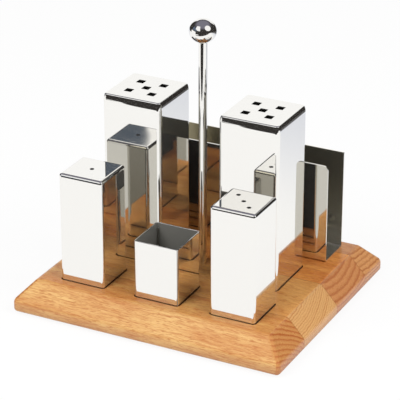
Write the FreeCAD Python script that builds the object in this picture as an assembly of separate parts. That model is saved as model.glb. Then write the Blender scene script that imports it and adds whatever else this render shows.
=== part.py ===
# Spice shaker set: a beech tray with five square sockets, two small and two tall shakers of
# polished stainless sheet, an open toothpick cup, a bent sheet napkin holder, and a carrying
# post with a ball knob in the middle.
#
# Millimetres, +Z up, +X to the right along the tray's front edge, +Y to the back.
# The origin is on the ground, under the middle of the tray.
import FreeCAD
import Part
import math
import os

V = FreeCAD.Vector
UP = V(0, 0, 1)

# Small shakers and the toothpick cup, which share one square section
small_side = 31.5
small_height = 82.0
small_corner = 2.0
small_top_round = 2.0
cup_height = 46.5

# Tall shakers
tall_side = 42.0
tall_height = 121.2
tall_corner = 2.6

# Top edge of a tall shaker: a gentle arc leans its sides in, then a tight arc meets the top
tall_shoulder_round = 8.0
tall_shoulder_lean = 24.0
tall_top_round = 1.0
sharpest_bend = 0.2

# Sheet that the containers are pressed and welded from
shell_wall = 0.8
base_sheet = 1.0
weld_gap = 0.03
cup_base_recess = 1.5
cup_rim_round = 0.3

# Pouring holes, set out like the spots of a die
round_hole = 2.9
three_hole_step = 7.0
square_hole = 5.2
five_hole_step = 8.3

# Filling holes in the bases, each with a drawn collar, and the push-in stoppers
base_recess = 2.8
small_fill_hole = 16.0
tall_fill_hole = 24.0
collar_height = 3.0
collar_wall = 0.8
stopper_flange_width = 2.5
stopper_flange = 1.8
stopper_edge = 0.4
stopper_fit = 0.06
stopper_rib = 0.3
stopper_rib_height = 0.8
stopper_past_collar = 0.8
stopper_wall = 1.6
stopper_roof = 1.4

# Tray: the sockets and the strips of wood between them set its width and depth
tray_thickness = 21.0
socket_depth = 7.0
small_socket_gap = 0.75
tall_socket_gap = 0.7
side_strip = 13.5
cup_strip = 20.7
front_strip = 6.8
row_strip = 13.6
holder_strip = 9.7
back_strip = 7.7
post_bay = 40.0

# Tray edge: a steep bevel between a soft ridge and a rounded nose
bevel_run = 11.8
bevel_drop = 13.0
ridge_round = 4.0
nose_round = 4.0
bottom_round = 2.4
tray_corner = 3.0
flat_corner = 2.5

# Widths of the glued staves from the front; the last one takes what is left
stave_widths = [38.0, 51.0, 47.0]

# Rubber feet
foot_height = 1.5
foot_top = 12.0
foot_base = 10.0
foot_edge_inset = 8.0

# Napkin holder
holder_depth = 27.0
holder_height = 69.0
holder_sheet = 1.0
holder_bend = 1.0
holder_end_strip = 9.8
holder_front_corner = 3.0
holder_back_corner = 0.8
holder_screw_spacing = 100.0

# Wood screws that hold the napkin holder down
screw_shank = 2.9
screw_length = 12.0
screw_tip = 2.5
screw_head = 6.0
screw_head_height = 1.9
screw_head_round = 1.2
screw_slot_width = 0.8
screw_slot_depth = 0.7
screw_fit = 0.05

# Carrying post with its ball knob, held by a washer and a nut from below
post_x = 1.5
post_rod = 5.5
post_height = 155.0
post_stud = 4.0
stud_fit = 0.05
knob_width = 17.6
knob_tall = 15.8
knob_seat = 6.4
knob_bore_depth = 8.0
knob_stud = 7.0
counterbore = 12.0
counterbore_depth = 8.0
washer_width = 9.0
washer_sheet = 0.8
nut_flats = 7.0
nut_height = 3.2
nut_chamfer = 0.4
stud_past_nut = 1.0

# Worked out: heights
tray_bottom = foot_height
tray_top = tray_bottom + tray_thickness
socket_floor = tray_top - socket_depth

# Worked out: sockets and tray size
small_socket = small_side + 2 * small_socket_gap
tall_socket = tall_side + 2 * tall_socket_gap
flat_width = 2 * side_strip + 3 * small_socket + 2 * cup_strip
flat_depth = (front_strip + small_socket + row_strip + tall_socket
              + holder_strip + holder_depth + back_strip)
tray_width = flat_width + 2 * bevel_run
tray_depth = flat_depth + 2 * bevel_run

# Worked out: centres of the rows
small_row_y = -flat_depth / 2 + front_strip + small_socket / 2
tall_row_y = small_row_y + small_socket / 2 + row_strip + tall_socket / 2
holder_y = tall_row_y + tall_socket / 2 + holder_strip + holder_depth / 2
small_x = small_socket + cup_strip
tall_x = (post_bay + tall_socket) / 2


def edges_at(shape, z):
    """Edges that lie in the level plane z."""
    found = []
    for edge in shape.Edges:
        box = edge.BoundBox
        if abs(box.ZMin - z) < 1e-4 and abs(box.ZMax - z) < 1e-4:
            found.append(edge)
    return found


def upright_edges(shape):
    return [e for e in shape.Edges if abs(e.tangentAt(e.FirstParameter).z) > 0.99]


def rounded(shape, radius, edges):
    return shape.makeFillet(radius, edges).Solids[0]


def square_block(side, height, corner):
    """A square bar on the ground plane, centred, with rounded upright edges."""
    bar = Part.makeBox(side, side, height, V(-side / 2, -side / 2, 0))
    return rounded(bar, corner, upright_edges(bar))


def turned(points):
    """A solid turned about Z from (radius, height) points that start and end on the axis."""
    corners = [V(r, 0, z) for r, z in points]
    profile = Part.Face(Part.makePolygon(corners + [corners[0]]))
    return profile.revolve(V(0, 0, 0), UP, 360)


def moved(shape, x, y, z):
    copy = shape.copy()
    copy.translate(V(x, y, z))
    return copy


def round_holes(centres, through):
    return [Part.makeCylinder(round_hole / 2, through, V(x, y, 0)) for x, y in centres]


def square_holes(centres, through):
    half = square_hole / 2
    return [Part.makeBox(square_hole, square_hole, through, V(x - half, y - half, 0))
            for x, y in centres]


def small_form(skin):
    """A small shaker's outside, or its hollow when skin is the wall."""
    height = small_height - skin
    form = square_block(small_side - 2 * skin, height, small_corner - skin)
    return rounded(form, small_top_round - skin, edges_at(form, height))


def arc_over_x(centre, radius, start, end):
    """An arc in the XZ plane between two angles, with its two end points."""
    places = [centre + V(math.cos(a), 0, math.sin(a)) * radius for a in (start, (start + end) / 2, end)]
    return Part.Arc(*places).toShape(), places[0], places[2]


def shoulder_section(reach, skin):
    """Half of a tall shaker's upright section, from an axis out to reach, as a face over X."""
    height = tall_height - skin
    gentle = tall_shoulder_round - skin
    tight = max(tall_top_round - skin, sharpest_bend)
    lean = math.radians(tall_shoulder_lean)
    step = V(math.cos(lean), 0, math.sin(lean)) * (gentle - tight)
    shoulder_centre = V(reach - gentle, 0, height - tight - step.z)
    gentle_arc, side_top, _ = arc_over_x(shoulder_centre, gentle, 0, lean)
    tight_arc, _, top_rim = arc_over_x(shoulder_centre + step, tight, lean, math.pi / 2)
    corners = [top_rim, V(0, 0, height), V(0, 0, 0), V(reach, 0, 0), side_top]
    sides = [Part.LineSegment(a, b).toShape() for a, b in zip(corners, corners[1:])]
    return Part.Face(Part.Wire([gentle_arc, tight_arc] + sides))


def tall_form(skin):
    """A tall shaker's outside, or its hollow when skin is the wall: turned corners and four sides."""
    corner = tall_corner - skin
    reach = tall_side / 2 - skin
    turned_corner = shoulder_section(corner, skin).revolve(V(0, 0, 0), UP, 360)
    run = reach - corner
    side = shoulder_section(reach, skin).extrude(V(0, 2 * run, 0))
    side.translate(V(0, -run, 0))
    pieces = [moved(turned_corner, x, y, 0) for x in (-run, run) for y in (-run, run)]
    for quarter in range(4):
        piece = side.copy()
        piece.rotate(V(0, 0, 0), UP, 90 * quarter)
        pieces.append(piece)
    return pieces[0].multiFuse(pieces[1:]).removeSplitter().Solids[0]


def shaker_shell(form, height, cutters):
    """A pressed square shell, open below, with pouring holes in its top."""
    shell = form(0).cut(form(shell_wall))
    for cutter in cutters:
        shell = shell.cut(moved(cutter, 0, 0, height / 2))
    return shell


def base_plate(side, corner, fill_hole):
    """The plate welded inside a shell, its filling hole drawn up into a collar."""
    inside = side - 2 * shell_wall - 2 * weld_gap
    plate = square_block(inside, base_sheet, corner - shell_wall)
    bore = fill_hole / 2
    full_height = base_sheet + collar_height
    collar = Part.makeCylinder(bore + collar_wall, full_height)
    return plate.fuse(collar).cut(Part.makeCylinder(bore, full_height)).removeSplitter()


def stopper(fill_hole):
    """A push-in stopper with two sealing ribs, hollow from below; its seat is at height 0."""
    seal = fill_hole / 2 - stopper_fit
    neck = seal - stopper_rib
    flange = fill_hole / 2 + stopper_flange_width
    hollow = neck - stopper_wall
    top = base_sheet + collar_height + stopper_past_collar
    profile = [(0, top), (neck - stopper_edge, top), (neck, top - stopper_edge)]
    for rib in (top - stopper_past_collar, 2 * stopper_rib_height):
        low = rib - stopper_rib_height
        profile += [(neck, rib), (seal, rib - stopper_rib), (seal, low + stopper_rib), (neck, low)]
    profile += [
        (neck, 0),
        (flange, 0),
        (flange, -stopper_flange + stopper_edge),
        (flange - stopper_edge, -stopper_flange),
        (hollow, -stopper_flange),
        (hollow, top - stopper_roof),
        (0, top - stopper_roof),
    ]
    return turned(profile)


def outline(width, depth, corner, z):
    """A level rectangle with rounded corners, as one wire."""
    x = width / 2
    y = depth / 2
    mid = corner * (1 - math.sqrt(0.5))
    edges = []
    for sx, sy in ((1, -1), (1, 1), (-1, 1), (-1, -1)):
        on_x = V(sx * (x - corner), sy * y, z)
        on_y = V(sx * x, sy * (y - corner), z)
        middle = V(sx * (x - mid), sy * (y - mid), z)
        start, end = (on_x, on_y) if sx * sy < 0 else (on_y, on_x)
        if edges:
            edges.append(Part.LineSegment(last, start).toShape())
        else:
            first = start
        edges.append(Part.Arc(start, middle, end).toShape())
        last = end
    edges.append(Part.LineSegment(last, first).toShape())
    return Part.Wire(edges)


def tray_blank():
    """The glued board before its sockets are milled."""
    nose_z = tray_top - bevel_drop
    bottom = outline(tray_width, tray_depth, tray_corner, tray_bottom)
    slab = Part.Face(bottom).extrude(V(0, 0, nose_z - tray_bottom))
    nose = outline(tray_width, tray_depth, tray_corner, nose_z)
    flat = outline(flat_width, flat_depth, flat_corner, tray_top)
    board = slab.fuse(Part.makeLoft([nose, flat], True, True)).removeSplitter()
    board = rounded(board, ridge_round, edges_at(board, tray_top))
    board = rounded(board, nose_round, edges_at(board, nose_z))
    return rounded(board, bottom_round, edges_at(board, tray_bottom))


def tray_cutters():
    """Sockets for the containers, the post's hole and counterbore, and the screw pilots."""
    small = square_block(small_socket, socket_depth, small_corner + small_socket_gap)
    tall = square_block(tall_socket, socket_depth, tall_corner + tall_socket_gap)
    cutters = [moved(small, x, small_row_y, socket_floor) for x in (-small_x, 0, small_x)]
    cutters += [moved(tall, x, tall_row_y, socket_floor) for x in (-tall_x, tall_x)]
    under_post = V(post_x, 0, tray_bottom)
    cutters.append(Part.makeCylinder(post_stud / 2 + stud_fit, tray_thickness, under_post))
    cutters.append(Part.makeCylinder(counterbore / 2, counterbore_depth, under_post))
    pilot_depth = screw_length - holder_sheet + screw_fit
    for x in screw_places():
        mouth = V(x, holder_y, tray_top - pilot_depth)
        cutters.append(Part.makeCylinder(screw_shank / 2 + screw_fit, pilot_depth, mouth))
    return cutters


def tray_staves():
    """The finished tray as its glued staves, from the front to the back."""
    board = tray_blank()
    for cutter in tray_cutters():
        board = board.cut(cutter)
    seams = [-tray_depth / 2]
    for width in stave_widths:
        seams.append(seams[-1] + width)
    seams.append(tray_depth / 2)
    staves = []
    for low, high in zip(seams, seams[1:]):
        slab = Part.makeBox(tray_width, high - low, tray_thickness, V(-tray_width / 2, low, tray_bottom))
        staves.append(board.common(slab))
    return staves


def screw_places():
    return (-holder_screw_spacing / 2, holder_screw_spacing / 2)


def foot():
    return turned([
        (0, 0),
        (foot_base / 2, 0),
        (foot_top / 2, foot_height),
        (0, foot_height),
    ])


def napkin_holder():
    """One strip bent into a U, with its plate corners cut round and two screw holes."""
    width = flat_width - 2 * holder_end_strip
    corner = V(-width / 2, holder_y - holder_depth / 2, tray_top)
    outer = Part.makeBox(width, holder_depth, holder_height, corner)
    outer = rounded(outer, holder_bend + holder_sheet, edges_along_x(outer, tray_top))
    gap = holder_depth - 2 * holder_sheet
    floor = V(corner.x, corner.y + holder_sheet, tray_top + holder_sheet)
    inner = Part.makeBox(width, gap, holder_height, floor)
    inner = rounded(inner, holder_bend, edges_along_x(inner, floor.z))
    strip = outer.cut(inner)
    strip = rounded(strip, holder_front_corner, plate_corners(strip, -1))
    strip = rounded(strip, holder_back_corner, plate_corners(strip, 1))
    for x in screw_places():
        hole = Part.makeCylinder(screw_shank / 2 + screw_fit, holder_sheet, V(x, holder_y, tray_top))
        strip = strip.cut(hole)
    return strip


def edges_along_x(shape, z):
    """The two long edges of a box at height z."""
    return [e for e in edges_at(shape, z) if abs(e.tangentAt(e.FirstParameter).x) > 0.99]


def plate_corners(strip, side):
    """The two short top edges of the front (-1) or back (1) plate of the napkin holder."""
    found = []
    for edge in edges_at(strip, tray_top + holder_height):
        middle = edge.CenterOfMass
        across = abs(edge.tangentAt(edge.FirstParameter).y) > 0.99
        if across and (middle.y - holder_y) * side > 0:
            found.append(edge)
    return found


def wood_screw():
    """A pan head wood screw, the head's seat at height 0, with a straight slot."""
    radius = screw_shank / 2
    head = screw_head / 2
    tip = -screw_length
    screw = turned([
        (0, tip),
        (radius, tip + screw_tip),
        (radius, 0),
        (head, 0),
        (head, screw_head_height),
        (0, screw_head_height),
    ])
    screw = rounded(screw, screw_head_round, edges_at(screw, screw_head_height))
    slot = Part.makeBox(screw_head, screw_slot_width, screw_slot_depth,
                        V(-head, -screw_slot_width / 2, screw_head_height - screw_slot_depth))
    return screw.cut(slot)


def post():
    """The rod, turned down to a stud at each end."""
    seat = tray_bottom + counterbore_depth
    stud_low = seat - washer_sheet - nut_height - stud_past_nut
    rod_top = tray_top + post_height
    radius = post_rod / 2
    stud = post_stud / 2
    return turned([
        (0, stud_low),
        (stud, stud_low),
        (stud, tray_top),
        (radius, tray_top),
        (radius, rod_top),
        (stud, rod_top),
        (stud, rod_top + knob_stud),
        (0, rod_top + knob_stud),
    ])


def knob():
    """A slightly flattened ball with a small flat seat and a blind bore."""
    wide = knob_width / 2
    tall = knob_tall / 2
    drop = tall * math.sqrt(1 - (knob_seat / knob_width) ** 2)
    flatten = FreeCAD.Matrix()
    flatten.scale(1, 1, tall / wide)
    ball = moved(Part.makeSphere(wide).transformGeometry(flatten), 0, 0, drop)
    above_seat = Part.makeBox(knob_width, knob_width, drop + tall, V(-wide, -wide, 0))
    ball = ball.common(above_seat)
    return ball.cut(Part.makeCylinder(post_stud / 2 + stud_fit, knob_bore_depth))


def washer():
    ring = Part.makeCylinder(washer_width / 2, washer_sheet)
    return ring.cut(Part.makeCylinder(post_stud / 2 + stud_fit, washer_sheet))


def nut():
    """A hexagon nut with its corners turned off at both faces."""
    reach = nut_flats / math.sqrt(3)
    corners = [V(reach * math.cos(math.radians(60 * i)), reach * math.sin(math.radians(60 * i)), 0)
               for i in range(7)]
    prism = Part.Face(Part.makePolygon(corners)).extrude(V(0, 0, nut_height))
    envelope = turned([
        (0, 0),
        (reach - nut_chamfer, 0),
        (reach, nut_chamfer),
        (reach, nut_height - nut_chamfer),
        (reach - nut_chamfer, nut_height),
        (0, nut_height),
    ])
    body = prism.common(envelope)
    return body.cut(Part.makeCylinder(post_stud / 2 + stud_fit, nut_height))


def shaker(name, x, y, form, side, height, corner, fill_hole, cutters):
    """One shaker's shell, base plate and stopper, standing in its socket."""
    plate_z = socket_floor + base_recess
    return {
        name + "_shell": moved(shaker_shell(form, height, cutters), x, y, socket_floor),
        name + "_base": moved(base_plate(side, corner, fill_hole), x, y, plate_z),
        name + "_stopper": moved(stopper(fill_hole), x, y, plate_z),
    }


def small_shaker(name, x, spots):
    cutters = round_holes(spots, small_height)
    return shaker(name, x, small_row_y, small_form, small_side, small_height, small_corner,
                  small_fill_hole, cutters)


def tall_shaker(name, x):
    step = five_hole_step
    spots = [(0, 0), (-step, -step), (step, -step), (-step, step), (step, step)]
    cutters = square_holes(spots, tall_height)
    return shaker(name, x, tall_row_y, tall_form, tall_side, tall_height, tall_corner,
                  tall_fill_hole, cutters)


def toothpick_cup():
    """The open cup: a square tube with a plain plate welded inside its foot."""
    tube = square_block(small_side, cup_height, small_corner)
    bore = square_block(small_side - 2 * shell_wall, cup_height, small_corner - shell_wall)
    tube = tube.cut(bore)
    tube = rounded(tube, cup_rim_round, edges_at(tube, cup_height))
    inside = small_side - 2 * shell_wall - 2 * weld_gap
    plate = square_block(inside, base_sheet, small_corner - shell_wall)
    return {
        "toothpick_cup_wall": moved(tube, 0, small_row_y, socket_floor),
        "toothpick_cup_base": moved(plate, 0, small_row_y, socket_floor + cup_base_recess),
    }


def build():
    nodes = {}
    names = ("front", "mid_front", "mid_back", "back")
    for name, stave in zip(names, tray_staves()):
        nodes["tray_stave_" + name] = stave
    foot_x = tray_width / 2 - foot_edge_inset - foot_top / 2
    foot_y = tray_depth / 2 - foot_edge_inset - foot_top / 2
    for row, sy in (("front", -1), ("back", 1)):
        for side, sx in (("left", -1), ("right", 1)):
            nodes["foot_" + row + "_" + side] = moved(foot(), sx * foot_x, sy * foot_y, 0)
    step = three_hole_step
    nodes.update(small_shaker("one_hole_shaker", -small_x, [(0, 0)]))
    nodes.update(small_shaker("three_hole_shaker", small_x, [(-step, step), (0, 0), (step, -step)]))
    nodes.update(tall_shaker("tall_shaker_left", -tall_x))
    nodes.update(tall_shaker("tall_shaker_right", tall_x))
    nodes.update(toothpick_cup())
    nodes["napkin_holder"] = napkin_holder()
    screw_z = tray_top + holder_sheet
    nodes["napkin_holder_screws"] = Part.makeCompound(
        [moved(wood_screw(), x, holder_y, screw_z) for x in screw_places()])
    washer_z = tray_bottom + counterbore_depth - washer_sheet
    nodes["post"] = moved(post(), post_x, 0, 0)
    nodes["post_knob"] = moved(knob(), post_x, 0, tray_top + post_height)
    nodes["post_washer"] = moved(washer(), post_x, 0, washer_z)
    nodes["post_nut"] = moved(nut(), post_x, 0, washer_z - nut_height)
    return nodes


def main():
    os.makedirs("parts", exist_ok=True)
    nodes = build()
    for name, shape in nodes.items():
        solids = shape.Solids
        print(name, len(solids), "solid", round(sum(s.Volume for s in solids), 1), "mm3",
              "valid" if shape.isValid() else "NOT VALID")
        piece = solids[0] if len(solids) == 1 else Part.makeCompound(solids)
        piece.exportStep("parts/" + name + ".step")
    whole = Part.makeCompound(list(nodes.values())).BoundBox
    print("overall", round(whole.XLength, 1), "x", round(whole.YLength, 1), "x", round(whole.ZLength, 1))


main()
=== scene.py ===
import math
import random
from typing import Callable, NamedTuple

import bmesh
import bpy
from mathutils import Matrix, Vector

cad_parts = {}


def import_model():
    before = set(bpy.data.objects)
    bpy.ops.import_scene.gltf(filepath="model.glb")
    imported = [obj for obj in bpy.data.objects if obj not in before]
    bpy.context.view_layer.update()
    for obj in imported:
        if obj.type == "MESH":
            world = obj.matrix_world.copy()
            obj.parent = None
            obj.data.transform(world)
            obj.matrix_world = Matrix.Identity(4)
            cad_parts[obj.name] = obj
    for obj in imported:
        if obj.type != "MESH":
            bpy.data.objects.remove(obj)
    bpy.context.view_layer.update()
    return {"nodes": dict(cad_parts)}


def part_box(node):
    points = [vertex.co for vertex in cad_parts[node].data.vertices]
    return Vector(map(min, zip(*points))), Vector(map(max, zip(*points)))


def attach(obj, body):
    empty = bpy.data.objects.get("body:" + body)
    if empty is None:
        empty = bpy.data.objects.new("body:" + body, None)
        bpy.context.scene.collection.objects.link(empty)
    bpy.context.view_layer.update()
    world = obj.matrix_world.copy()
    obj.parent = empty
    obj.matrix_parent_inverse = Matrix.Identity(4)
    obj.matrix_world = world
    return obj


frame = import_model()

MM = 0.001

# The photograph's camera, in degrees and millimetres, solved from the corners of the tray and containers
CAMERA_AZIMUTH = 26.907
CAMERA_ELEVATION = 24.98
CAMERA_DISTANCE = 1379.5
CAMERA_TARGET = (-0.53, 0.0, 67.25)
CAMERA_FOCAL_PIXELS = 2119.3
PHOTO_PIXELS = 400
SENSOR_WIDTH = 36.0
CLIP_START = 0.05
CLIP_END = 20

# Sheet thickness in millimetres
SHEET_OF_CUP = 0.8
SHEET_OF_HOLDER = 1.0

# Colours of the materials
STEEL = (0.92, 0.908, 0.875)
HIDDEN_STEEL = (0.66, 0.66, 0.67)
FASTENER = (0.62, 0.62, 0.61)
WELD = (0.80, 0.78, 0.72)
STOPPER = (0.86, 0.86, 0.83)
FOOT = (0.035, 0.034, 0.033)
CUP_INSIDE = (0.33, 0.32, 0.29)
HOLDER_INSIDE = (0.92, 0.89, 0.79)
PORE = (0.43, 0.125, 0.03)
# Painted shade along the tray's lower edge
LOWER_EDGE_SHADE = (0.30, 0.115, 0.07)
WHITE = (1, 1, 1)


class Pattern(NamedTuple):
    """A noise: its cycles per millimetre along X, Y and Z, its octaves, their strength and its seed."""
    cycles: tuple
    octaves: float
    rough: float
    seed: float


# Wood, where each stave adds its own seed: long along X, and close across it
RING_DRIFT = Pattern((0.012, 0.002, 0.002), 1.0, 0.5, 0)
RING_RIPPLE = Pattern((0.04, 0.28, 0.28), 2.0, 0.6, 1)
CLOUDS = Pattern((0.016, 0.07, 0.07), 2.0, 0.5, 2)
FIBRES = Pattern((0.11, 1.5, 1.5), 4.0, 0.7, 3)
PORES = Pattern((0.2, 1.7, 1.7), 1.0, 0.5, 4)
RAYS = Pattern((0.45, 2.4, 1.0), 2.0, 0.6, 5)

# Polished sheet
SWELL = Pattern((0.028, 0.028, 0.02), 1.0, 0.4, 4)
POLISHING_LINES = Pattern((0.35, 0.35, 6.0), 2.0, 0.6, 7)
SMEARS = Pattern((0.05, 0.05, 0.08), 3.0, 0.6, 9)
WORN_STREAKS = Pattern((0.02, 0.5, 0.9), 3.0, 0.65, 13)

# Plain steel, plastic and rubber
MACHINING = Pattern((3.0, 0.3, 3.0), 3.0, 0.6, 2)
FINE_SPECKS = Pattern((2.5, 2.5, 2.5), 3.0, 0.6, 3)
BROAD_SPECKS = Pattern((0.12, 0.12, 0.12), 2.0, 0.5, 5)


def box_mm(node):
    low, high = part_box(node)
    return Vector(low) / MM, Vector(high) / MM


def scaled(colour, factor):
    return tuple(c * factor for c in colour)


def opaque(colour):
    return (*colour, 1)


class Shader:
    """A material whose nodes are added by short calls, with sockets or plain values as inputs."""

    def __init__(self, name):
        self.material = bpy.data.materials.new(name)
        self.material.use_nodes = True
        self.tree = self.material.node_tree
        self.surface = self.tree.nodes["Principled BSDF"]

    def node(self, kind, **settings):
        made = self.tree.nodes.new(kind)
        for key, value in settings.items():
            setattr(made, key, value)
        return made

    def put(self, socket, value):
        if isinstance(value, bpy.types.NodeSocket):
            self.tree.links.new(value, socket)
        else:
            socket.default_value = value

    def math(self, operation, *inputs):
        made = self.node("ShaderNodeMath", operation=operation)
        for socket, value in zip(made.inputs, inputs):
            self.put(socket, value)
        return made.outputs[0]

    def vector(self, operation, *inputs):
        made = self.node("ShaderNodeVectorMath", operation=operation)
        for socket, value in zip(made.inputs, inputs):
            self.put(socket, value)
        return made.outputs["Value" if operation in ("LENGTH", "DOT_PRODUCT") else "Vector"]

    def mix(self, share, a, b, blend="MIX"):
        made = self.node("ShaderNodeMix", data_type="RGBA", blend_type=blend, clamp_factor=True)
        for name, value in (("Factor_Float", share), ("A_Color", a), ("B_Color", b)):
            self.put(next(s for s in made.inputs if s.identifier == name), value)
        return next(s for s in made.outputs if s.identifier == "Result_Color")

    def multiply(self, a, b):
        """Two colours multiplied."""
        return self.mix(1.0, a, b, "MULTIPLY")

    def remap(self, value, low, high, new_low=0.0, new_high=1.0, smooth=True):
        kind = "SMOOTHSTEP" if smooth else "LINEAR"
        made = self.node("ShaderNodeMapRange", interpolation_type=kind)
        for socket, given in zip(made.inputs, (value, low, high, new_low, new_high)):
            self.put(socket, given)
        return made.outputs[0]

    def place(self):
        """The point in millimetres in the object's own frame."""
        coordinates = self.node("ShaderNodeTexCoord")
        return self.vector("MULTIPLY", coordinates.outputs["Object"], (1 / MM, 1 / MM, 1 / MM))

    def normal(self):
        return self.node("ShaderNodeTexCoord").outputs["Normal"]

    def split(self, vector):
        made = self.node("ShaderNodeSeparateXYZ")
        self.put(made.inputs[0], vector)
        return made.outputs

    def join(self, x, y, z):
        made = self.node("ShaderNodeCombineXYZ")
        for socket, value in zip(made.inputs, (x, y, z)):
            self.put(socket, value)
        return made.outputs[0]

    def noise(self, point, pattern, seed=0.0, colour=False):
        made = self.node("ShaderNodeTexNoise", noise_dimensions="4D")
        self.put(made.inputs["Vector"], self.vector("MULTIPLY", point, pattern.cycles))
        self.put(made.inputs["W"], pattern.seed + seed)
        self.put(made.inputs["Scale"], 1.0)
        self.put(made.inputs["Detail"], pattern.octaves)
        self.put(made.inputs["Roughness"], pattern.rough)
        return made.outputs["Color" if colour else "Fac"]

    def chance(self, value, seed):
        """A random share that belongs to the whole number given."""
        made = self.node("ShaderNodeTexWhiteNoise", noise_dimensions="1D")
        self.put(made.inputs["W"], self.math("ADD", value, seed + 0.5))
        return made.outputs["Value"]

    def grey_ramp(self, value, stops):
        """A grey that runs through stops of (position, level)."""
        made = self.node("ShaderNodeValToRGB")
        self.put(made.inputs[0], value)
        points = made.color_ramp.elements
        while len(points) < len(stops):
            points.new(0.5)
        for point, (position, level) in zip(points, stops):
            point.position = position
            point.color = (level, level, level, 1.0)
        return made.outputs[0]

    def bump(self, height, distance, strength=1.0, normal=None):
        made = self.node("ShaderNodeBump")
        self.put(made.inputs["Height"], height)
        self.put(made.inputs["Distance"], distance * MM)
        self.put(made.inputs["Strength"], strength)
        if normal is not None:
            self.put(made.inputs["Normal"], normal)
        return made.outputs[0]

    def set(self, **values):
        for key, value in values.items():
            self.put(self.surface.inputs[key.replace("_", " ")], value)
        return self.material

    def glow_over(self, below, share, colour):
        """Lets light of a colour take a share of the surface from the shader below it."""
        glow = self.node("ShaderNodeEmission")
        self.put(glow.inputs["Color"], colour)
        mixed = self.node("ShaderNodeMixShader")
        for socket, value in zip(mixed.inputs, (share, below, glow.outputs[0])):
            self.put(socket, value)
        self.put(self.tree.nodes["Material Output"].inputs["Surface"], mixed.outputs[0])


class Stave(NamedTuple):
    """One stave's beech: where its pith lies in Y and Z and how far apart its rings are, in
    millimetres, its early and late wood, a tint of painted light and shade for its level top, and a tint
    for its end grain."""
    pith: tuple
    spacing: float
    pale: tuple
    deep: tuple
    top: tuple
    ends: tuple
    seed: float


# Each stave's top is a tint of painted light and shade for its level top
STAVES = {
    "front": Stave(pith=(-88, -50), spacing=2.8, pale=(0.77, 0.485, 0.185), deep=(0.52, 0.175, 0.045),
                   top=(1.0, 0.90, 0.76), ends=(0.92, 0.68, 0.56), seed=1.0),
    "mid_front": Stave(pith=(-46, 150), spacing=1.25, pale=(0.82, 0.50, 0.20), deep=(0.58, 0.24, 0.07),
                       top=(1.08, 0.93, 0.73), ends=(1.04, 0.98, 0.96), seed=11.0),
    "mid_back": Stave(pith=(27, 118), spacing=3.7, pale=(0.88, 0.47, 0.16), deep=(0.55, 0.17, 0.045),
                      top=(1.04, 0.84, 0.62), ends=(0.82, 0.69, 0.74), seed=21.0),
    "back": Stave(pith=(70, 175), spacing=2.4, pale=(0.90, 0.56, 0.25), deep=(0.45, 0.15, 0.042),
                  top=(1.0, 0.86, 0.74), ends=(0.90, 0.71, 0.61), seed=31.0),
}

# How far the rings drift along a stave, in rings, and how far they ripple, in millimetres
DRIFT_RINGS = 6
RIPPLE_DEPTH = 1.7
# The share of late wood through one ring, as (position, level)
RING_PROFILE = ((0.0, 0.35), (0.12, 0.0), (0.5, 0.2), (0.84, 1.0), (1.0, 0.5))
# How strongly late wood and pores show on the sides, and what one ring's late wood may fall to
LATE_SHOWS = 0.35
PORES_SHOW = 0.6
WEAKEST_LATE = 0.5
# The noise levels between which each pattern sets in, and how strongly it shows before and after
CLOUDS_SET_IN = (0.4, 0.65, 0.0, 0.5)
FIBRES_SET_IN = (0.44, 0.6, 0.0, 0.6)
PORES_SET_IN = (0.56, 0.66, 0.0, 1.0)
RAYS_SET_IN = (0.4, 0.7, 0.0, 0.4)
# Shades of a stave's own colours
FIBRE_SHADE = 0.9
END_PALE_SHADE = 0.84
END_DEEP_SHADE = 0.8
GLUE_SHADE = 0.5
# The upright part of a normal between a bevel and the level top, where the top's painted light and shade
# sets in, and its X part on the end bevels
TOP_NORMAL = (0.93, 0.99)
END_NORMAL = (0.2, 0.4)
# The width of a glue line in millimetres, from full to none, and how strongly it shows
GLUE_WIDTH = (0.1, 0.45)
GLUE_SHOWS = 0.55
# Seams lie closer than this to the tray's middle, and the tray's outer edges farther
OUTERMOST_SEAM = 60.0
# The heights in millimetres between which painted shade darkens the lower edge, and its strength at each
LOWER_SHADE_FADES = (2.5, 10.0, 0.5, 0.0)
# Where the clouds let the painted shade of the lower edge show, and its strength there
LOWER_SHADE_IN_CLOUDS = (0.3, 0.7, 0.6, 1.0)
# The wood's roughness by its fibres, its reflection, and its relief in millimetres
WOOD_ROUGHNESS = (0.3, 0.7, 0.24, 0.36)
WOOD_SPECULAR = 0.4
GRAIN_DEPTH = 0.04
GRAIN_STRENGTH = 0.5
FIBRE_RISES = 0.5
PORE_SINKS = 0.8


def rings(s, p, stave):
    """The share of late wood, the radius from the pith, and the offsets from it in Y and Z."""
    x, y, z = s.split(p)
    drift = s.vector("SUBTRACT", s.noise(p, RING_DRIFT, stave.seed, True), (0.5, 0.5, 0.5))
    reach = stave.spacing * DRIFT_RINGS
    dx, dy, dz = s.split(s.vector("MULTIPLY", drift, (0.0, reach, reach)))
    y_off = s.math("ADD", s.math("SUBTRACT", y, stave.pith[0]), dy)
    z_off = s.math("ADD", s.math("SUBTRACT", z, stave.pith[1]), dz)
    radius = s.vector("LENGTH", s.join(0.0, y_off, z_off))
    ripple = s.math("MULTIPLY", s.noise(p, RING_RIPPLE, stave.seed), RIPPLE_DEPTH)
    turns = s.math("DIVIDE", s.math("ADD", radius, ripple), stave.spacing)
    strength = s.remap(s.chance(s.math("FLOOR", turns), stave.seed), 0, 1, WEAKEST_LATE, 1.0, False)
    late = s.math("MULTIPLY", s.grey_ramp(s.math("FRACT", turns), RING_PROFILE), strength)
    return late, radius, y_off, z_off


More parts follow.
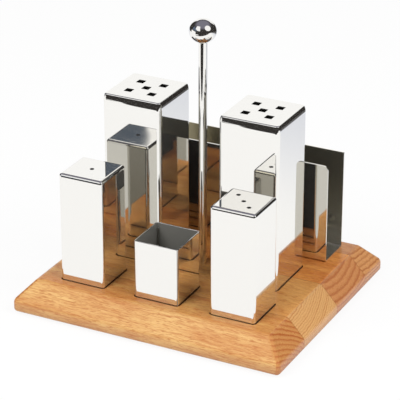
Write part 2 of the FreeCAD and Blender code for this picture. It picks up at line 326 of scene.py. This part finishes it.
def wood(name):
    """Beech for one stave, with rings round an axis along X, glue lines, painted shade along its lower
    edge and painted light and shade on its level top.
    """
    stave = STAVES[name]
    pale, deep, seed = stave.pale, stave.deep, stave.seed
    s = Shader("beech_" + name)
    p = s.place()
    x, y, z = s.split(p)
    nx, ny, nz = s.split(s.normal())
    low, high = box_mm("tray_stave_" + name)
    late, radius, y_off, z_off = rings(s, p, stave)

    # Side grain: clouds, fibres and short dark pores
    side = s.mix(s.math("MULTIPLY", late, LATE_SHOWS), opaque(pale), opaque(deep))
    cloud = s.noise(p, CLOUDS, seed)
    side = s.mix(s.remap(cloud, *CLOUDS_SET_IN), side, opaque(deep))
    fibre = s.noise(p, FIBRES, seed)
    side = s.mix(s.remap(fibre, *FIBRES_SET_IN), side, opaque(scaled(deep, FIBRE_SHADE)))
    pores = s.remap(s.noise(p, PORES, seed), *PORES_SET_IN)
    side = s.mix(s.math("MULTIPLY", pores, PORES_SHOW), side, opaque(PORE))
    # Painted light and shade: the level top is tinted apart from the bevels of the same grain, for how the
    # light falls on it
    side = s.mix(s.remap(nz, *TOP_NORMAL), side, s.multiply(side, opaque(stave.top)))

    # End grain: the rings, crossed by rays that run out from the pith
    middle = (low + high) / 2
    reach = math.hypot(middle.y - stave.pith[0], middle.z - stave.pith[1])
    arc = s.math("MULTIPLY", s.math("ARCTAN2", z_off, y_off), reach)
    rays = s.noise(s.join(radius, arc, 0.0), RAYS, seed)
    end = s.mix(late, opaque(scaled(pale, END_PALE_SHADE)), opaque(scaled(deep, END_DEEP_SHADE)))
    end = s.mix(s.remap(rays, *RAYS_SET_IN), end, opaque(scaled(deep, FIBRE_SHADE)))
    end = s.multiply(end, opaque(stave.ends))
    colour = s.mix(s.remap(s.math("ABSOLUTE", nx), *END_NORMAL), side, end)

    # Glue lines, on the stave's sides that meet another stave
    from_low = s.math("ABSOLUTE", s.math("SUBTRACT", y, low.y))
    from_high = s.math("ABSOLUTE", s.math("SUBTRACT", y, high.y))
    glue = s.remap(s.math("MINIMUM", from_low, from_high), *GLUE_WIDTH, 1.0, 0.0)
    inner = s.math("LESS_THAN", s.math("ABSOLUTE", y), OUTERMOST_SEAM)
    glue = s.math("MULTIPLY", s.math("MULTIPLY", glue, inner), GLUE_SHOWS)
    colour = s.mix(glue, colour, opaque(scaled(deep, GLUE_SHADE)))

    # The lower edge, darkened with painted shade for the shadow under the tray's rounded underside
    lower_shade = s.math("MULTIPLY", s.remap(z, *LOWER_SHADE_FADES), s.remap(cloud, *LOWER_SHADE_IN_CLOUDS))
    colour = s.mix(lower_shade, colour, opaque(LOWER_EDGE_SHADE))

    sunk = s.math("MULTIPLY", pores, PORE_SINKS)
    height = s.math("SUBTRACT", s.math("MULTIPLY", fibre, FIBRE_RISES), sunk)
    return s.set(Base_Color=colour, Roughness=s.remap(fibre, *WOOD_ROUGHNESS),
                 Specular_IOR_Level=WOOD_SPECULAR, Normal=s.bump(height, GRAIN_DEPTH, GRAIN_STRENGTH))


class Inside(NamedTuple):
    """A container's duller inside: where it is, its colour, what it adds to the roughness and takes
    from the metal; for streaks, the height where they are thickest, where they end, their strength."""
    where: Callable
    colour: tuple
    haze: float
    milky: float
    streaks: tuple = None


class Lean(NamedTuple):
    """Sheet that leans inwards under a pressed top: the shell's middle and half width in X, its top."""
    middle: float
    half: float
    top: float


# Polished sheet: its share of metal, and the roughness of the containers and of the napkin holder
METAL = 0.975
MIRROR = 0.012
HOLDER_MIRROR = 0.02
# The noise levels between which smears set in, and what they add to the roughness
SMEARS_SET_IN = (0.35, 0.7)
SMEARED = 0.035
# The same for the polishing lines, how strongly they show, and their shade of the steel
LINES_SET_IN = (0.3, 0.7, 0.0, 0.3)
LINES_SHADE = 0.95
INSIDE_SHADE = 0.85
STREAKS_SET_IN = (0.35, 0.65, 0.3, 1.0)
# The waves in the sheet: a millimetre high, and hardly showing
SWELL_DEPTH = 1.0
SWELL_SHOWS = 0.07
# The stretch under a tall shaker's top where its sheet leans inwards, and by how much, in millimetres
LEAN_BELOW = (5.4, 1.2)
LEAN_DEPTH = 0.14
# How far right of the middle the lean is full, as a share of the half width
LEAN_FULL_AT = 0.3
# How far under the cup's rim its inside starts, in millimetres
UNDER_RIM = 0.3


def steel(name, roughness, inside=None, lean=None):
    """Mirror-polished sheet with faint waviness and fine polishing lines."""
    s = Shader(name)
    p = s.place()
    lines = s.noise(p, POLISHING_LINES)
    shine = s.remap(s.noise(p, SMEARS), *SMEARS_SET_IN, roughness, roughness + SMEARED)
    tone = s.mix(s.remap(lines, *LINES_SET_IN), opaque(STEEL), opaque(scaled(STEEL, LINES_SHADE)))
    metal = METAL
    if inside is not None:
        share = inside.where(s, p)
        shine = s.math("ADD", s.math("MULTIPLY", share, inside.haze), shine)
        shade = opaque(scaled(inside.colour, INSIDE_SHADE))
        tone = s.mix(share, tone, s.mix(lines, shade, opaque(inside.colour)))
        cloudy = inside.milky
        if inside.streaks is not None:
            # Fine streaks along X that thicken towards the bottom
            thickest, ended, strength = inside.streaks
            near_bottom = s.remap(s.split(p)[2], thickest, ended, 1.0, 0.0)
            streak = s.remap(s.noise(p, WORN_STREAKS), *STREAKS_SET_IN)
            cloudy = s.math("ADD", cloudy, s.math("MULTIPLY", near_bottom, streak))
            cloudy = s.math("MULTIPLY", cloudy, strength)
        metal = s.math("SUBTRACT", metal, s.math("MULTIPLY", share, cloudy))
    normal = s.bump(s.noise(p, SWELL), SWELL_DEPTH, SWELL_SHOWS)
    if lean is not None:
        x, y, z = s.split(p)
        inwards = s.remap(z, lean.top - LEAN_BELOW[0], lean.top - LEAN_BELOW[1], 0.0, -1.0)
        full_at = lean.half * LEAN_FULL_AT
        to_the_right = s.remap(s.math("SUBTRACT", x, lean.middle), -lean.half, full_at)
        normal = s.bump(s.math("MULTIPLY", inwards, to_the_right), LEAN_DEPTH, 1.0, normal)
    return s.set(Base_Color=tone, Metallic=metal, Roughness=shine, Normal=normal)


def pressed_steel(node):
    """The steel of one tall shaker, which leans inwards under its top."""
    low, high = box_mm(node)
    lean = Lean((low.x + high.x) / 2, (high.x - low.x) / 2, high.z)
    return steel("polished_" + node, MIRROR, lean=lean)


def within(s, value, middle, half):
    return s.math("LESS_THAN", s.math("ABSOLUTE", s.math("SUBTRACT", value, middle)), half)


def inside_cup(s, p):
    """One inside the cup's walls, none on their outer faces."""
    low, high = box_mm("toothpick_cup_wall")
    middle = (low + high) / 2
    half = (high.x - low.x) / 2 - SHEET_OF_CUP / 2
    x, y, z = s.split(p)
    between = s.math("MULTIPLY", within(s, x, middle.x, half), within(s, y, middle.y, half))
    return s.math("MULTIPLY", between, s.math("LESS_THAN", z, high.z - UNDER_RIM))


def inside_holder(s, p):
    """One between the napkin holder's plates, none on their outer faces and edges."""
    low, high = box_mm("napkin_holder")
    half = (high.y - low.y) / 2 - SHEET_OF_HOLDER / 2
    x, y, z = s.split(p)
    above = s.math("GREATER_THAN", z, low.z + SHEET_OF_HOLDER / 2)
    return s.math("MULTIPLY", within(s, y, (low.y + high.y) / 2, half), above)


# The noise levels between which machining marks and specks roughen a surface, and how much they add
GRAIN_SETS_IN = (0.3, 0.7)
MACHINING_ROUGHENS = 0.12
SPECKS_ROUGHEN = 0.15
MACHINING_SHADE = 0.85
# Their relief, in millimetres, and how strongly it shows
MACHINING_DEPTH = 0.01
SPECK_DEPTH = 0.03
RELIEF_SHOWS = 0.5


def plain_steel(name, colour, roughness):
    """Steel with machining marks along Y."""
    s = Shader(name)
    grain = s.noise(s.place(), MACHINING)
    tone = s.mix(grain, opaque(scaled(colour, MACHINING_SHADE)), opaque(colour))
    shine = s.remap(grain, *GRAIN_SETS_IN, roughness, roughness + MACHINING_ROUGHENS)
    return s.set(Base_Color=tone, Metallic=1.0, Roughness=shine,
                 Normal=s.bump(grain, MACHINING_DEPTH, RELIEF_SHOWS))


def moulded(name, colour, roughness, speckle):
    """Plastic or rubber with a fine moulded texture."""
    s = Shader(name)
    p = s.place()
    fine = s.noise(p, FINE_SPECKS)
    tone = s.mix(s.noise(p, BROAD_SPECKS), opaque(scaled(colour, 1 - speckle)), opaque(colour))
    shine = s.remap(fine, *GRAIN_SETS_IN, roughness, roughness + SPECKS_ROUGHEN)
    return s.set(Base_Color=tone, Roughness=shine, Normal=s.bump(fine, SPECK_DEPTH, RELIEF_SHOWS))


def dress():
    """A material on every node's slots."""
    mirror = steel("polished_steel", MIRROR)
    hidden = plain_steel("plain_steel", HIDDEN_STEEL, roughness=0.3)
    fastener = plain_steel("fastener_steel", FASTENER, roughness=0.24)
    plastic = moulded("stopper_plastic", STOPPER, roughness=0.4, speckle=0.05)
    rubber = moulded("foot_rubber", FOOT, roughness=0.6, speckle=0.3)
    of_cup = Inside(inside_cup, CUP_INSIDE, haze=0.27, milky=0.6)
    of_holder = Inside(inside_holder, HOLDER_INSIDE, haze=0.05, milky=0.08, streaks=(23, 62, 0.12))
    own = {
        "toothpick_cup_wall": steel("cup_steel", MIRROR, of_cup),
        "napkin_holder": steel("holder_steel", HOLDER_MIRROR, of_holder),
        "napkin_holder_screws": fastener,
        "post_washer": fastener,
        "post_nut": fastener,
    }
    for name in STAVES:
        own["tray_stave_" + name] = wood(name)
    for node in ("tall_shaker_left_shell", "tall_shaker_right_shell"):
        own[node] = pressed_steel(node)
    for name, obj in frame["nodes"].items():
        if name in own:
            material = own[name]
        elif name.startswith("foot"):
            material = rubber
        elif name.endswith("_stopper"):
            material = plastic
        elif name.endswith("_base"):
            material = hidden
        else:
            material = mirror
        for slot in obj.material_slots:
            slot.material = material


# The weld's least half width and half thickness, what chance adds to them, and how far it wanders
WELD_ACROSS = (0.45, 0.22)
WELD_OUT = (0.34, 0.2)
WELD_WANDERS = 0.10
WELD_SUNK_SHARE = 0.3
WELD_STEP = 0.8
WELD_SIDES = 10
# Its distances from the cup's sheets, and from the cup's lower end and its rim
WELD_FROM_SHEETS = (0.9, 0.4)
WELD_START = 4
WELD_SHORTER = 6
WELD_SEED = 5


def weld_ring(bm, centre, across, out):
    """One ring of the bead's points round a centre in millimetres."""
    ring = []
    for k in range(WELD_SIDES):
        angle = 2 * math.pi * k / WELD_SIDES
        x = centre.x + across * math.cos(angle)
        y = centre.y - out * WELD_SUNK_SHARE + out * math.sin(angle)
        ring.append(bm.verts.new((x * MM, y * MM, centre.z * MM)))
    return ring


def weld_bead():
    """The lumpy weld inside the cup, up its left back corner."""
    low, high = box_mm("toothpick_cup_wall")
    corner_x = low.x + SHEET_OF_CUP + WELD_FROM_SHEETS[0]
    corner_y = high.y - SHEET_OF_CUP - WELD_FROM_SHEETS[1]
    rng = random.Random(WELD_SEED)
    bm = bmesh.new()
    beads = []
    for i in range(int((high.z - low.z - WELD_SHORTER) / WELD_STEP)):
        across = WELD_ACROSS[0] + WELD_ACROSS[1] * rng.random()
        out = WELD_OUT[0] + WELD_OUT[1] * rng.random()
        wander = WELD_WANDERS * (rng.random() - 0.5)
        centre = Vector((corner_x + wander, corner_y, low.z + WELD_START + i * WELD_STEP))
        beads.append(weld_ring(bm, centre, across, out))
    for lower, upper in zip(beads, beads[1:]):
        for k in range(WELD_SIDES):
            after = (k + 1) % WELD_SIDES
            bm.faces.new((lower[k], lower[after], upper[after], upper[k]))
    bm.faces.new(list(reversed(beads[0])))
    bm.faces.new(beads[-1])
    for face in bm.faces:
        face.smooth = True
    bead = add_mesh("cup_weld_bead", bm)
    bead.data.materials.append(plain_steel("weld_metal", WELD, roughness=0.3))
    modifier = bead.modifiers.new("round", "SUBSURF")
    modifier.levels = 1
    modifier.render_levels = 2
    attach(bead, "toothpick_cup")


def add_mesh(name, bm):
    """Puts a bmesh into the scene as an object, and frees it."""
    mesh = bpy.data.meshes.new(name)
    bm.to_mesh(mesh)
    bm.free()
    obj = bpy.data.objects.new(name, mesh)
    bpy.context.scene.collection.objects.link(obj)
    return obj


# What is left of the white surroundings after one further reflection, by channel; it falls faster later
REPEAT_GLOSS = (0.60, 0.59, 0.55)
REPEAT_FALL = 1.3
# The least that a reflection shows
DARKEST = (0.008, 0.006, 0.005)
# The softboxes outshine the white card, so a second reflection of them is still white
SOFTBOX_GAIN = 3.0


def fading(s, gain=1.0):
    """A colour that falls with every reflection after the first one, up from white times gain."""
    path = s.node("ShaderNodeLightPath")
    extra = s.math("MAXIMUM", s.math("SUBTRACT", path.outputs["Glossy Depth"], 1.0), 0.0)
    extra = s.math("POWER", extra, REPEAT_FALL)
    channels = [s.math("MINIMUM", s.math("MULTIPLY", s.math("POWER", kept, extra), gain), 1.0)
                for kept in REPEAT_GLOSS]
    return s.join(*channels)


# The table's edges in metres, and how far it lies under the feet, so that they don't share a plane
TABLE_LEFT = -0.95
TABLE_RIGHT = 2.5
TABLE_FRONT = -0.34
TABLE_BACK = 0.62
TABLE_BELOW = 0.00005
TABLE = (0.93, 0.93, 0.93)
TABLE_GLOW_SHARE = 0.9
# The table behind the set and what lies beyond it, as the steel's right faces mirror them: their
# colours, and the distances in millimetres over which they set in
FAR_TABLE = (0.74, 0.765, 0.84)
FAR_TABLE_FROM = (110, 330)
BEYOND_TABLE = (0.010, 0.008, 0.007)
BEYOND_TABLE_FROM = (345, 400)
BEYOND_TABLE_RIGHT_OF = (-60, 60)

# The nearest and farthest edge of the card in front, each as its y and its two ends in x, in metres
CARD_NEAR = (-0.46, -0.42, -0.07)
CARD_FAR = (-1.25, -1.05, -0.28)
# The sine of the flattest angle at which the card still shows, and how softly it ends there
CARD_FLATTEST = 0.235
CARD_SOFT = 0.01


def level_card(name, corners):
    """A flat four-cornered card just under the feet."""
    bm = bmesh.new()
    bm.faces.new([bm.verts.new((x, y, -TABLE_BELOW)) for x, y in corners])
    return add_mesh(name, bm)


def floor():
    """A white table top that ends a little in front of the set."""
    top = level_card("table_top", ((TABLE_LEFT, TABLE_FRONT), (TABLE_RIGHT, TABLE_FRONT),
                                   (TABLE_RIGHT, TABLE_BACK), (TABLE_LEFT, TABLE_BACK)))
    s = Shader("white_card")
    s.set(Base_Color=opaque(TABLE), Roughness=0.9, Specular_IOR_Level=0.1)
    path = s.node("ShaderNodeLightPath")
    mirrored = path.outputs["Is Glossy Ray"]
    seen = s.math("MAXIMUM", path.outputs["Is Camera Ray"], mirrored)
    x, y, z = s.split(s.place())
    far = s.math("MULTIPLY", s.remap(y, *FAR_TABLE_FROM), mirrored)
    beyond = s.math("MULTIPLY", s.remap(y, *BEYOND_TABLE_FROM), s.remap(x, *BEYOND_TABLE_RIGHT_OF))
    beyond = s.math("MULTIPLY", beyond, mirrored)
    tone = s.mix(far, opaque(WHITE), opaque(FAR_TABLE))
    tone = s.mix(beyond, tone, opaque(BEYOND_TABLE))
    share = s.math("MULTIPLY", seen, TABLE_GLOW_SHARE)
    s.glow_over(s.surface.outputs[0], share, s.multiply(fading(s), tone))
    top.data.materials.append(s.material)


def front_card():
    """A white card past the table's front edge, which the faces of lifted containers mirror."""
    near, far = CARD_NEAR, CARD_FAR
    card = level_card("front_card", ((near[1], near[0]), (far[1], far[0]),
                                     (far[2], far[0]), (near[2], near[0])))
    s = Shader("front_card")
    mirrored = s.node("ShaderNodeLightPath").outputs["Is Glossy Ray"]
    back_along_ray = s.node("ShaderNodeNewGeometry").outputs["Incoming"]
    steep = s.remap(s.split(back_along_ray)[2], CARD_FLATTEST - CARD_SOFT, CARD_FLATTEST + CARD_SOFT)
    clear = s.node("ShaderNodeBsdfTransparent").outputs[0]
    s.glow_over(clear, s.math("MULTIPLY", steep, mirrored), fading(s))
    card.data.materials.append(s.material)


def toward(azimuth, elevation):
    """A direction by its degrees from the front towards +X, and its degrees above the table."""
    a, e = math.radians(azimuth), math.radians(elevation)
    return Vector((math.sin(a) * math.cos(e), -math.cos(a) * math.cos(e), math.sin(e)))


class Room(Shader):
    """The world's shader, with masks that are one inside a patch of directions."""

    def __init__(self, world):
        world.use_nodes = True
        self.tree = world.node_tree
        self.tree.nodes.clear()
        self.ray = self.node("ShaderNodeTexCoord").outputs["Generated"]
        x, y, z = self.split(self.ray)
        turn = self.math("ARCTAN2", x, self.math("MULTIPLY", y, -1.0))
        self.azimuth = self.math("MULTIPLY", turn, 180 / math.pi)
        self.elevation = self.math("MULTIPLY", self.math("ARCSINE", z), 180 / math.pi)

    def band(self, value, low, high, soft):
        rise = self.remap(value, low - soft, low + soft)
        fall = self.remap(value, high - soft, high + soft, 1.0, 0.0)
        return self.math("MULTIPLY", rise, fall)

    def patch(self, azimuths, elevations, soft=0.8):
        """Between two azimuths and two elevations."""
        return self.math("MULTIPLY", self.band(self.azimuth, *azimuths, soft),
                         self.band(self.elevation, *elevations, soft))

    def disc(self, centre, radius, soft=1.0):
        """Within radius degrees of a centre."""
        near = self.vector("DOT_PRODUCT", self.ray, toward(*centre))
        low = math.cos(math.radians(radius + soft))
        high = math.cos(math.radians(radius - soft))
        return self.remap(near, low, high)

    def flat_card(self, corners, soft=0.012):
        """A four-cornered card, its corners given anticlockwise as directions seen from the set."""
        mask = None
        points = [toward(*corner) for corner in corners]
        for start, end in zip(points, points[1:] + points[:1]):
            inward = start.cross(end).normalized()
            side = self.remap(self.vector("DOT_PRODUCT", self.ray, inward), -soft, soft)
            mask = side if mask is None else self.math("MULTIPLY", mask, side)
        return mask

    def either(self, first, *others):
        """One where any of the masks is one."""
        for other in others:
            first = self.math("MAXIMUM", first, other)
        return first

    def over(self, mask, colour, below):
        return self.mix(mask, below, opaque(colour))


# The room as the steel mirrors it: colours, and places as azimuths and elevations in degrees
DARK_ROOM = (0.014, 0.011, 0.009)
CEILING = (0.17, 0.165, 0.21)
CEILING_RISES = (30, 58)
BLUE_SHEET = (0.09, 0.125, 0.19)
BLUE_SHEET_PLACE = ((-75, -28.55), (12, 34))
BACKDROP_PLACE = ((-180, -128), (-30, 34))
BACKDROP_END_PLACE = ((166, 180), (8, 34))
SIDE_SHEET_PLACE = ((-80, -36), (-30, 6))
LEFT_BOX_CORNERS = ((-13, 61), (-55, 52), (-43, 25), (3, 22))
LEFT_BOX_FOOT_PLACE = ((-28.55, 0), (20, 27))
RIGHT_BOX_CENTRE = (82, 41)
RIGHT_BOX_RADIUS = 24
# How soft the edges are that cross a shaker's level top, in degrees
SHARP = 0.12
# The even light that rough surfaces get from the room
AMBIENT = (0.5, 0.5, 0.5)


def world():
    """White to the camera, an even light on the object, and a dim studio with softboxes in reflections."""
    scene = bpy.context.scene
    scene.world = scene.world or bpy.data.worlds.new("World")
    s = Room(scene.world)
    dim = s.over(s.remap(s.elevation, *CEILING_RISES), CEILING, opaque(DARK_ROOM))
    dim = s.over(s.patch(*BLUE_SHEET_PLACE, SHARP), BLUE_SHEET, dim)
    whites = s.either(s.patch(*BACKDROP_PLACE), s.patch(*BACKDROP_END_PLACE), s.patch(*SIDE_SHEET_PLACE))
    boxes = s.either(s.flat_card(LEFT_BOX_CORNERS), s.patch(*LEFT_BOX_FOOT_PLACE, SHARP),
                     s.disc(RIGHT_BOX_CENTRE, RIGHT_BOX_RADIUS))
    mirrored = s.mix(whites, s.multiply(dim, fading(s)), fading(s))
    mirrored = s.mix(boxes, mirrored, fading(s, SOFTBOX_GAIN))
    mirrored = s.mix(1.0, mirrored, opaque(DARKEST), "LIGHTEN")
    path = s.node("ShaderNodeLightPath")
    shown = s.mix(path.outputs["Is Glossy Ray"], opaque(AMBIENT), mirrored)
    shown = s.mix(path.outputs["Is Camera Ray"], shown, opaque(WHITE))
    background = s.node("ShaderNodeBackground")
    s.put(background.inputs["Color"], shown)
    s.put(s.node("ShaderNodeOutputWorld").inputs["Surface"], background.outputs[0])


# The height in metres that the lamps aim at, and their distance from there
LAMP_AIM = 0.04
LAMP_DISTANCE = 1.7


def lamp(name, direction, size, energy):
    """A softbox that lights the object but isn't mirrored in it; the world holds its reflection."""
    data = bpy.data.lights.new(name, "AREA")
    data.shape = "SQUARE"
    data.size = size
    data.energy = energy
    obj = bpy.data.objects.new(name, data)
    obj.location = toward(*direction) * LAMP_DISTANCE + Vector((0, 0, LAMP_AIM))
    obj.rotation_euler = toward(*direction).to_track_quat("Z", "Y").to_euler()
    obj.visible_glossy = False
    bpy.context.scene.collection.objects.link(obj)


def lights():
    lamp("left_softbox", (-22, 43), size=0.8, energy=15.0)
    lamp("right_softbox", RIGHT_BOX_CENTRE, size=0.9, energy=14.0)


def camera():
    outward = toward(CAMERA_AZIMUTH, CAMERA_ELEVATION)
    data = bpy.data.cameras.new("photo_camera")
    data.sensor_fit = "HORIZONTAL"
    data.sensor_width = SENSOR_WIDTH
    data.lens = CAMERA_FOCAL_PIXELS / PHOTO_PIXELS * SENSOR_WIDTH
    data.clip_start = CLIP_START
    data.clip_end = CLIP_END
    obj = bpy.data.objects.new("photo_camera", data)
    obj.location = (Vector(CAMERA_TARGET) + outward * CAMERA_DISTANCE) * MM
    obj.rotation_euler = (-outward).to_track_quat("-Z", "Y").to_euler()
    bpy.context.scene.collection.objects.link(obj)
    bpy.context.scene.camera = obj


camera()
dress()
weld_bead()
floor()
front_card()
world()
lights()
bpy.context.scene.view_settings.view_transform = "Standard"
